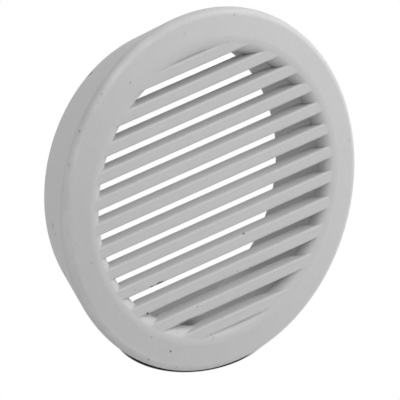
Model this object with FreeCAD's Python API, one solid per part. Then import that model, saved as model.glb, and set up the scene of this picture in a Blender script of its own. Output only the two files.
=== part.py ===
import FreeCAD, Part
import math
import os

# Round louvred vent cover, moulded in one piece. Millimetres.
# Y is the axis of the cover: the open rear rim lies in y = 0 and the face looks along -Y.
# X runs along the blades and Z is up.

# Body
face_dia = 125.0       # widest diameter, at the rounded front edge
rear_dia = 102.0       # outer diameter of the rear rim
depth = 28.0           # from the land around the opening to the rear rim
wall = 2.5             # thickness of the skirt and of the front ring
edge_round = 2.6       # radius between the front ring and the skirt
ring_fall = 6.5        # degrees the front ring falls back towards its outer edge
rim_bevel = 0.3        # bevel on both edges of the rear rim

# Opening
opening_dia = 94.0     # narrowest diameter, at the rear of the rolled lip
lip_round = 5.0        # radius of the rolled lip
lip_depth = 3.6        # depth of the rolled lip
land_width = 1.2       # flat land between the lip and the sloping ring

# Louvre
blade_count = 12
blade_height = 4.1
blade_depth = 5.4
blade_nose = 0.55      # radius of the upper front edge of a blade
blade_recess = 0.1     # how far the blade fronts stand behind the land
end_overlap = 1.55     # how far the first and last blades reach past the opening

# Sizes that follow from those above
face_r = face_dia / 2
rear_r = rear_dia / 2
opening_r = opening_dia / 2
land_r = opening_r + math.sqrt(lip_depth * (2 * lip_round - lip_depth))
crest_r = land_r + land_width
seat_r = opening_r + wall / 2          # where the blade ends meet the rear of the lip
fall = math.radians(ring_fall)
blade_pitch = (2 * (opening_r + end_overlap) - blade_height) / (blade_count - 1)
front = -depth

AXIS = FreeCAD.Vector(0, 1, 0)
ORIGIN = FreeCAD.Vector(0, 0, 0)


def point(r, back):
    """Section point at radius r, the distance back behind the front plane."""
    return FreeCAD.Vector(r, front + back, 0)


def meet(p, u, q, v):
    """Point where the line through p along u meets the line through q along v."""
    cross = u.x * v.y - u.y * v.x
    gap = q - p
    return p + u * ((gap.x * v.y - gap.y * v.x) / cross)


def arc(points):
    return Part.Arc(*points).toShape()


def on_lip(back):
    """Point of the rolled lip at the distance back behind the front plane."""
    return point(land_r - math.sqrt(back * (2 * lip_round - back)), back)


# Round of the front edge: its centre, and the slant of the skirt that runs tangent to it
round_r = face_r - edge_round
round_back = (round_r - crest_r) * math.tan(fall) + edge_round / math.cos(fall)
run_r = rear_r - round_r
run_back = depth - round_back
slant = math.atan2(run_back, run_r) - math.acos(edge_round / math.hypot(run_r, run_back))


def on_edge(angle):
    """Point of the front edge's round, the angle measured from its widest point."""
    out = FreeCAD.Vector(math.cos(angle), math.sin(angle), 0)
    return point(round_r, round_back) + out * edge_round


# Corners of the section
throat = on_lip(lip_depth)
blade_line = on_lip(blade_recess)
land = on_lip(0)
crest = point(crest_r, 0)
lip_end = point(opening_r + wall, lip_depth)
ring_rear = point(crest_r, wall / math.cos(fall))
rim_out = point(rear_r, depth)
rim_in = point(rear_r - wall / math.cos(slant), depth)
along_ring = FreeCAD.Vector(math.cos(fall), math.sin(fall), 0)
along_skirt = FreeCAD.Vector(-math.sin(slant), math.cos(slant), 0)
nook = meet(ring_rear, along_ring, rim_in, along_skirt)

# The edge is rounded in three arcs that meet halfway up its front and at the widest point
turn = fall - math.pi / 2
edge = [on_edge(turn * k / 4) for k in range(4, 0, -1)]
edge += [on_edge(slant * k / 2) for k in range(3)]

rim = [
    rim_out - along_skirt * rim_bevel,
    point(rear_r - rim_bevel, depth),
    point(rim_in.x + rim_bevel, depth),
    rim_in - along_skirt * rim_bevel,
]

section = Part.Wire([
    arc([throat, on_lip(lip_depth / 4), blade_line]),
    Part.makeLine(blade_line, land),
    Part.makeLine(land, crest),
    Part.makeLine(crest, edge[0]),
    arc(edge[0:3]),
    arc(edge[2:5]),
    arc(edge[4:7]),
    Part.makeLine(edge[6], rim[0]),
    Part.makeLine(rim[0], rim[1]),
    Part.makeLine(rim[1], rim[2]),
    Part.makeLine(rim[2], rim[3]),
    Part.makeLine(rim[3], nook),
    Part.makeLine(nook, ring_rear),
    Part.makeLine(ring_rear, lip_end),
    Part.makeLine(lip_end, throat),
])
body = Part.Face(section).revolve(ORIGIN, AXIS, 360)


def blade(z):
    """One straight blade whose middle is at height z, longer than the opening is wide."""
    y0 = front + blade_recess
    y1 = y0 + blade_depth
    top = z + blade_height / 2
    low = z - blade_height / 2
    x = -crest_r
    c = blade_nose * (1 - math.sqrt(0.5))
    nose = [
        FreeCAD.Vector(x, y0, top - blade_nose),
        FreeCAD.Vector(x, y0 + c, top - c),
        FreeCAD.Vector(x, y0 + blade_nose, top),
    ]
    rear_top = FreeCAD.Vector(x, y1, top)
    rear_low = FreeCAD.Vector(x, y1, low)
    front_low = FreeCAD.Vector(x, y0, low)
    outline = Part.Wire([
        arc(nose),
        Part.makeLine(nose[2], rear_top),
        Part.makeLine(rear_top, rear_low),
        Part.makeLine(rear_low, front_low),
        Part.makeLine(front_low, nose[0]),
    ])
    return Part.Face(outline).extrude(FreeCAD.Vector(2 * crest_r, 0, 0))


# The blade ends stop inside the lip, on a cone that narrows towards the rear
seat_fall = (crest_r - seat_r) / lip_depth
seat_back = blade_recess + 2 * blade_depth
seat = Part.makeCone(crest_r, crest_r - seat_fall * seat_back, seat_back, point(0, 0), AXIS)

blades = []
for i in range(blade_count):
    bar = blade(blade_pitch * ((blade_count - 1) / 2 - i))
    blades.append(bar.common(seat))

cover = body.fuse(blades)
if cover.ShapeType != "Solid":
    cover = cover.Solids[0]

os.makedirs("parts", exist_ok=True)
cover.exportStep("parts/vent_cover.step")
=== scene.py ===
import math
import bpy
from mathutils import Matrix, Vector

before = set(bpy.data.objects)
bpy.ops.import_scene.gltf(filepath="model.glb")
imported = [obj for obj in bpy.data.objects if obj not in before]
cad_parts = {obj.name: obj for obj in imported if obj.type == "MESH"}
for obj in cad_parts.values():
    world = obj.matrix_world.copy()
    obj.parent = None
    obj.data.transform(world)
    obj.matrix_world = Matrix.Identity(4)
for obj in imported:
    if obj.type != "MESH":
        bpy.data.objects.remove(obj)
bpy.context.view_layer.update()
scene = bpy.context.scene
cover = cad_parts["vent_cover"]

# Camera
RIGHT = Vector((0.7702, -0.61694, -0.16179))
UP = Vector((0.34278, 0.18648, 0.92072))
FORWARD = Vector((0.53786, 0.7646, -0.3551))
PLACE = Vector((-2.1062, -3.0127, 1.3853))
FOCAL_PX = 11595.0
IMAGE_PX = 400.0
SENSOR_MM = 36.0

cam_data = bpy.data.cameras.new("camera")
cam_data.sensor_width = SENSOR_MM
cam_data.lens = FOCAL_PX / IMAGE_PX * SENSOR_MM
cam = bpy.data.objects.new("camera", cam_data)
scene.collection.objects.link(cam)
turn = Matrix((RIGHT, UP, -FORWARD)).transposed()
cam.matrix_world = Matrix.Translation(PLACE) @ turn.to_4x4()
scene.camera = cam
scene.view_settings.view_transform = "Standard"


def nodes_of(owner):
    """The emptied node tree of a material or world."""
    owner.use_nodes = True
    tree = owner.node_tree
    tree.nodes.clear()
    return tree


class Graph:
    """Short calls for building a node tree."""

    def __init__(self, tree):
        self.tree = tree

    def node(self, kind, **settings):
        n = self.tree.nodes.new("ShaderNode" + kind)
        for key, value in settings.items():
            setattr(n, key, value)
        return n

    def feed(self, socket, value):
        """Link the value to the socket, or set it there if it is a plain number."""
        if isinstance(value, bpy.types.NodeSocket):
            self.tree.links.new(value, socket)
        else:
            socket.default_value = value

    def math(self, operation, a, b=0.0):
        n = self.node("Math", operation=operation)
        self.feed(n.inputs[0], a)
        self.feed(n.inputs[1], b)
        return n.outputs[0]

    def product(self, first, *others):
        total = first
        for other in others:
            total = self.math("MULTIPLY", total, other)
        return total

    def vector(self, operation, a, b=(0, 0, 0), c=(0, 0, 0)):
        n = self.node("VectorMath", operation=operation)
        for socket, value in zip(n.inputs, (a, b, c)):
            self.feed(socket, value)
        scalar = operation in ("LENGTH", "DOT_PRODUCT")
        return n.outputs["Value" if scalar else "Vector"]

    def along(self, vector, direction):
        """How far the vector reaches along the direction."""
        return self.vector("DOT_PRODUCT", vector, direction)

    def ramp(self, value, low, high, out_low=0.0, out_high=1.0, smooth=False):
        n = self.node("MapRange")
        n.interpolation_type = "SMOOTHSTEP" if smooth else "LINEAR"
        self.feed(n.inputs["Value"], value)
        ends = {"From Min": low, "From Max": high, "To Min": out_low, "To Max": out_high}
        for name, end in ends.items():
            n.inputs[name].default_value = end
        return n.outputs[0]

    def spread(self, value, out_low, out_high):
        """The value's run from 0 to 1, spread between two others."""
        return self.ramp(value, 0.0, 1.0, out_low, out_high)

    def noise(self, vector, scale, detail=2.0, output="Fac"):
        n = self.node("TexNoise")
        self.feed(n.inputs["Vector"], vector)
        n.inputs["Scale"].default_value = scale
        n.inputs["Detail"].default_value = detail
        return n.outputs[output]

    def seen(self):
        """1 for rays that look at the background: camera, glossy and transmission rays."""
        path = self.node("LightPath")
        first = self.math("MAXIMUM", path.outputs["Is Camera Ray"], path.outputs["Is Glossy Ray"])
        return self.math("MAXIMUM", first, path.outputs["Is Transmission Ray"])


# Plastic: a pale grey moulding with a fine grain, faint mottling and small marks, with painted shade
# in its recesses and painted highlights on some edges and faces
GRAIN_SCALE = 1500.0
MOTTLE_SCALE = 60.0
STREAK_SCALE = (450.0, 30.0, 450.0)
plastic = bpy.data.materials.new("plastic")
g = Graph(nodes_of(plastic))
spot = g.node("TexCoord").outputs["Object"]
grain = g.noise(spot, GRAIN_SCALE)
mottle = g.noise(spot, MOTTLE_SCALE, detail=3.0)
streak = g.noise(g.vector("MULTIPLY", spot, STREAK_SCALE), 1.0)

# Moulded edges are softened, and the exposed ones are rubbed a little paler
EDGE_SOFTNESS = 0.001
RECESS_REACH = 0.005
WEAR_SCALE = 220.0
bevel = g.node("Bevel", samples=6)
bevel.inputs["Radius"].default_value = EDGE_SOFTNESS
facing = bevel.outputs["Normal"]
recess = g.node("AmbientOcclusion", samples=12)
recess.inputs["Distance"].default_value = RECESS_REACH
openness = recess.outputs["AO"]
bend = g.along(g.node("NewGeometry").outputs["Normal"], facing)
wear = g.product(
    g.ramp(bend, 0.90, 0.995, 1.0, 0.0),
    g.ramp(openness, 0.85, 1.0),
    g.ramp(g.noise(spot, WEAR_SCALE), 0.42, 0.62),
)

# Painted highlight: the rounded front edge is painted paler all the way round, and more so at its
# upper and lower left
UPPER_LEFT = (-0.866, 0, 0.5)
LOWER_LEFT = (-0.72, 0, -0.69)
HIGHLIGHT_PATCH_SCALE = 90.0
radius = g.vector("LENGTH", g.vector("MULTIPLY", spot, (1, 0, 1)))
inward = g.along(spot, (0, 1, 0))
patchy = g.ramp(g.noise(spot, HIGHLIGHT_PATCH_SCALE), 0.35, 0.65, 0.6, 1.0)


def edge_band(radii, depths):
    """Band of the front edge that comes in between two radii and goes out between two depths."""
    return g.product(g.ramp(radius, *radii), g.ramp(inward, *depths, 1.0, 0.0), patchy)


edge_highlight = edge_band((0.0600, 0.0612), (-0.0264, -0.0248))
upper_left_highlight = g.product(
    edge_band((0.0602, 0.0616), (-0.0256, -0.0240)),
    g.ramp(g.along(spot, UPPER_LEFT), 0.030, 0.058),
)
lower_left_highlight = g.product(
    edge_band((0.0592, 0.0606), (-0.0268, -0.0256)),
    g.ramp(g.along(spot, LOWER_LEFT), 0.0545, 0.060),
)

# Painted highlight: fronts that tilt a little upwards, such as the noses of the blades, are painted
# paler
rising = g.along(facing, (0, 0, 1))
nose_highlight = g.product(
    g.ramp(rising, 0.04, 0.16),
    g.ramp(g.along(facing, (0, -1, 0)), 0.80, 0.95),
)

# Painted light: the bottom inside the skirt, where it faces up, is painted paler
BOTTOM = (0.242, 0, -0.970)
lowness = g.math("DIVIDE", g.along(spot, BOTTOM), radius)
inner_bottom_light = g.product(
    g.ramp(lowness, 0.940, 0.988, smooth=True),
    g.ramp(inward, -0.021, -0.019),
    g.ramp(rising, 0.6, 0.85),
)

# Round specks in millimetres: centre, radius, darkness
SPECKS_AND_SHADE = [
    ((-48.5, -25.6, 39.1), 0.5, 0.5),
    ((-26.1, -27.7, 49.0), 0.5, 0.4),
    ((-39.7, -26.8, 46.6), 0.6, 0.12),
    ((-37.7, -26.6, 48.7), 0.7, 0.14),
    ((-39.0, -27.9, -21.5), 0.4, 0.35),
    ((9.1, -27.5, -19.1), 0.65, 0.9),
    ((9.2, -27.9, -31.6), 0.5, 0.6),
    ((3.7, -27.9, -30.9), 0.4, 0.35),
    ((-5.8, -27.3, -44.5), 0.6, 0.3),
    ((-10.9, -27.9, -49.8), 0.5, 0.25),
    ((-11.9, -27.9, -48.3), 0.5, 0.25),
    ((-15.2, -27.9, -36.7), 0.45, 0.65),
    ((-25.2, -27.4, -42.6), 0.5, 0.18),
    ((-29.1, -27.6, -48.0), 0.55, 0.85),
    ((-36.0, -27.9, -40.2), 0.6, 0.25),
    ((-38.1, -26.9, -47.7), 0.5, 0.6),
    ((-44.6, -26.8, -41.9), 0.6, 0.25),
    ((-27.3, -26.8, -54.8), 0.6, 0.25),
    ((21.1, -27.2, 56.4), 0.6, 0.3),
    ((15.8, -27.9, 48.3), 0.5, 0.25),
    ((-0.7, -27.5, 57.4), 0.6, 0.14),
    # Painted shade at the end of a slot
    ((-35.9, -27.9, -31.6), 0.75, 0.95),
    # Cluster of fine dots on one blade
    ((-15.8, -27.9, -37.6), 0.25, 0.2),
    ((-17.1, -27.9, -37.5), 0.25, 0.18),
    ((-18.5, -27.9, -38.0), 0.25, 0.2),
    ((-15.7, -27.9, -39.1), 0.3, 0.25),
    ((-13.5, -27.9, -37.3), 0.25, 0.18),
    ((-17.2, -27.9, -36.3), 0.25, 0.15),
]

# Longer marks in millimetres: centre, half sizes along the axes, darkness
SCUFFS_AND_SHADE = [
    # Faint scuffs on the ring
    ((-54.6, -27.8, -5.8), (0.8, 0.6, 0.5), 0.22),
    ((-59.2, -27.3, 2.4), (0.7, 0.7, 0.9), 0.08),
    ((-55.0, -25.6, 29.4), (0.7, 0.7, 0.9), 0.2),
    ((59.4, -27.3, -3.6), (0.7, 0.7, 1.2), 0.12),
    # Scuffs on the skirt
    ((-56.3, -11.6, 5.0), (1.2, 1.3, 1.9), 0.42),
    ((-57.9, -14.7, 3.3), (0.9, 1.1, 0.7), 0.42),
    ((-55.2, -11.8, -12.7), (1.3, 2.2, 1.1), 0.75),
    ((-23.9, -2.8, 46.6), (1.2, 1.2, 0.9), 0.6),
    ((-23.2, -1.0, 45.8), (2.3, 1.2, 1.8), 0.7),
    # Dark rub along the lower edge of one blade
    ((-32.1, -27.9, -23.3), (1.3, 1.0, 0.8), 0.9),
    ((-28.9, -27.9, -23.3), (3.0, 1.0, 0.9), 1.0),
    # Painted shade along the lower edges of two blades
    ((-16.0, -27.9, -31.7), (24.0, 0.6, 0.6), 0.45),
    ((-20.0, -27.9, -40.0), (7.0, 0.6, 0.6), 0.5),
    # Painted shadow inside the skirt, behind the end of the lowest slot
    ((-8.0, -6.5, -51.0), (7.0, 5.0, 3.0), 0.45),
]

# The outlines of the marks are ragged, and finer specks lie all over
RAGGED_SCALE = 900.0
RAGGED_SIZE = 0.0005
FINE_SPECK_SCALE = 110.0
MM_PER_M = 1000.0
stray = g.vector("SUBTRACT", g.noise(spot, RAGGED_SCALE, output="Color"), (0.5, 0.5, 0.5))
ragged = g.vector("MULTIPLY_ADD", stray, (RAGGED_SIZE, RAGGED_SIZE, RAGGED_SIZE), spot)
cells = g.node("TexVoronoi")
g.feed(cells.inputs["Vector"], ragged)
cells.inputs["Scale"].default_value = FINE_SPECK_SCALE
dark = g.ramp(cells.outputs["Distance"], 0.012, 0.028, 0.3, 0.0)
marks = [(centre, (size, size, size), depth) for centre, size, depth in SPECKS_AND_SHADE] + SCUFFS_AND_SHADE
for centre, half, depth in marks:
    grow = [MM_PER_M / h for h in half]
    shift = [-c / h for c, h in zip(centre, half)]
    far = g.vector("LENGTH", g.vector("MULTIPLY_ADD", ragged, grow, shift))
    dark = g.math("MAXIMUM", dark, g.ramp(far, 0.35, 1.0, depth, 0.0, smooth=True))

tone = g.product(
    g.spread(grain, 0.545, 0.615),
    g.spread(mottle, 0.965, 1.035),
    g.spread(streak, 0.98, 1.02),
    # Painted shade: recesses are painted darker where the AO test finds them closed in
    g.ramp(openness, 0.30, 0.95, 0.92, 1.0),
    g.spread(wear, 1.0, 1.05),
    # Painted highlights: the front edge, the noses of the blades and the bottom inside the skirt are
    # painted paler
    g.spread(edge_highlight, 1.0, 1.12),
    g.spread(upper_left_highlight, 1.0, 1.26),
    g.spread(lower_left_highlight, 1.0, 1.15),
    g.spread(nose_highlight, 1.0, 1.045),
    g.spread(inner_bottom_light, 1.0, 1.3),
    g.spread(dark, 1.0, 0.0),
)
roughness = g.math(
    "SUBTRACT",
    g.ramp(mottle, 0.3, 0.7, 0.56, 0.66),
    g.spread(wear, 0.0, 0.1),
)
bump = g.node("Bump")
bump.inputs["Strength"].default_value = 0.15
bump.inputs["Distance"].default_value = 0.00004
g.feed(bump.inputs["Height"], grain)
g.feed(bump.inputs["Normal"], facing)

bsdf = g.node("BsdfPrincipled")
g.feed(bsdf.inputs["Base Color"], tone)
g.feed(bsdf.inputs["Roughness"], roughness)
bsdf.inputs["Specular IOR Level"].default_value = 0.4
g.feed(bsdf.inputs["Normal"], bump.outputs["Normal"])
g.feed(g.node("OutputMaterial").inputs[0], bsdf.outputs[0])
cover.data.materials.clear()
cover.data.materials.append(plastic)

# World: white to the camera, an even studio light to everything else
AMBIENT = 0.25
world = bpy.data.worlds.new("studio")
scene.world = world
w = Graph(nodes_of(world))
room = w.node("Background")
room.inputs["Strength"].default_value = AMBIENT
white = w.node("Background")
white.inputs["Strength"].default_value = 1.0
for n in (room, white):
    n.inputs["Color"].default_value = (1, 1, 1, 1)
pick = w.node("MixShader")
w.feed(pick.inputs[0], w.seen())
w.feed(pick.inputs[1], room.outputs[0])
w.feed(pick.inputs[2], white.outputs[0])
w.feed(w.node("OutputWorld").inputs[0], pick.outputs[0])

# Lamps: large soft discs around the cover, each aimed at it
# Degrees round from the front, degrees up, power
LAMP_DISTANCE = 1.3
LAMP_SIZE = 0.7
LAMP_AIM = Vector((0, -0.02, 0))
LAMPS = {
    "key": (60, 25, 10.0),
    "front": (30, 3, 3.4),
    "top": (-58, 56, 2.4),
    "left": (-105, 22, 2.3),
    "rear": (155, 40, 2.1),
}
for name, (turn_deg, lift_deg, power) in LAMPS.items():
    light = bpy.data.lights.new(name, "AREA")
    light.shape = "DISK"
    light.size = LAMP_SIZE
    light.energy = power
    lamp = bpy.data.objects.new(name, light)
    scene.collection.objects.link(lamp)
    a = math.radians(turn_deg)
    e = math.radians(lift_deg)
    away = Vector((math.sin(a) * math.cos(e), -math.cos(a) * math.cos(e), math.sin(e)))
    lamp.location = LAMP_AIM + away * LAMP_DISTANCE
    lamp.rotation_euler = (-away).to_track_quat("-Z", "Y").to_euler()

# Floor: the cover lies on its tapered skirt, so the floor runs along the lowest line of the skirt
SLANT = math.radians(25.596)
REAR_RADIUS = 0.051
FLOOR_HALF = 3.0
FLOOR_GAP = 0.00005
FLOOR_UP = Vector((0, -math.sin(SLANT), math.cos(SLANT)))
ALONG = Vector((0, math.cos(SLANT), math.sin(SLANT)))
ACROSS = Vector((1, 0, 0))
foot = Vector((0, 0, -REAR_RADIUS)) - FLOOR_UP * FLOOR_GAP
mesh = bpy.data.meshes.new("floor")
corners = [foot + ACROSS * (i * FLOOR_HALF) + ALONG * (j * FLOOR_HALF)
           for i, j in ((-1, -1), (1, -1), (1, 1), (-1, 1))]
mesh.from_pydata(corners, [], [(0, 1, 2, 3)])
floor = bpy.data.objects.new("floor", mesh)
scene.collection.objects.link(floor)

# It is white to the camera except in a painted contact shadow, under the skirt and close behind the
# rim, and it is clear from below so that it never hides the cover
FLOOR_COLOUR = (0.8, 0.8, 0.8, 1)
UNDER_HALF_WIDTH = 0.0316      # oval shadow under the skirt
UNDER_HALF_LENGTH = 0.0239
UNDER_CENTRE = 0.004           # how far in front of the rear rim the oval's centre is
UNDER_FADE = 0.014             # where the oval has faded out towards the right
UNDER_LEVEL = 0.01
BACK_NEAR = 0.0075             # where the shade behind the rim begins to fade, and where it ends
BACK_FAR = 0.011
BACK_NARROW = 0.022            # the same to each side
BACK_WIDE = 0.027
BACK_LEVEL = 0.23

fmat = bpy.data.materials.new("floor")
f = Graph(nodes_of(fmat))
matt = f.node("BsdfDiffuse")
matt.inputs["Color"].default_value = FLOOR_COLOUR
place = f.node("NewGeometry").outputs["Position"]
behind = f.along(f.vector("SUBTRACT", place, foot), ALONG)
across = f.along(place, ACROSS)
aside = f.math("ABSOLUTE", across)
oval = f.node("CombineXYZ")
f.feed(oval.inputs[0], f.math("DIVIDE", aside, UNDER_HALF_WIDTH))
f.feed(oval.inputs[1], f.math("DIVIDE", f.math("ADD", behind, UNDER_CENTRE), UNDER_HALF_LENGTH))
under = f.math(
    "MAXIMUM",
    f.ramp(f.vector("LENGTH", oval.outputs[0]), 0.99, 1.01, UNDER_LEVEL, 1.0, smooth=True),
    f.ramp(across, 0.0, UNDER_FADE, smooth=True),
)
back = f.math(
    "MAXIMUM",
    f.ramp(behind, BACK_NEAR, BACK_FAR, BACK_LEVEL, 1.0, smooth=True),
    f.ramp(aside, BACK_NARROW, BACK_WIDE),
)
shade = f.node("Mix")
f.feed(shade.inputs[0], f.math("GREATER_THAN", behind, 0.0))
f.feed(shade.inputs[2], under)
f.feed(shade.inputs[3], back)
glow = f.node("Emission")
f.feed(glow.inputs["Strength"], shade.outputs[0])
shown = f.node("MixShader")
f.feed(shown.inputs[0], f.seen())
f.feed(shown.inputs[1], matt.outputs[0])
f.feed(shown.inputs[2], glow.outputs[0])
clear = f.node("BsdfTransparent")
sided = f.node("MixShader")
f.feed(sided.inputs[0], f.node("NewGeometry").outputs["Backfacing"])
f.feed(sided.inputs[1], shown.outputs[0])
f.feed(sided.inputs[2], clear.outputs[0])
f.feed(f.node("OutputMaterial").inputs[0], sided.outputs[0])
mesh.materials.append(fmat)
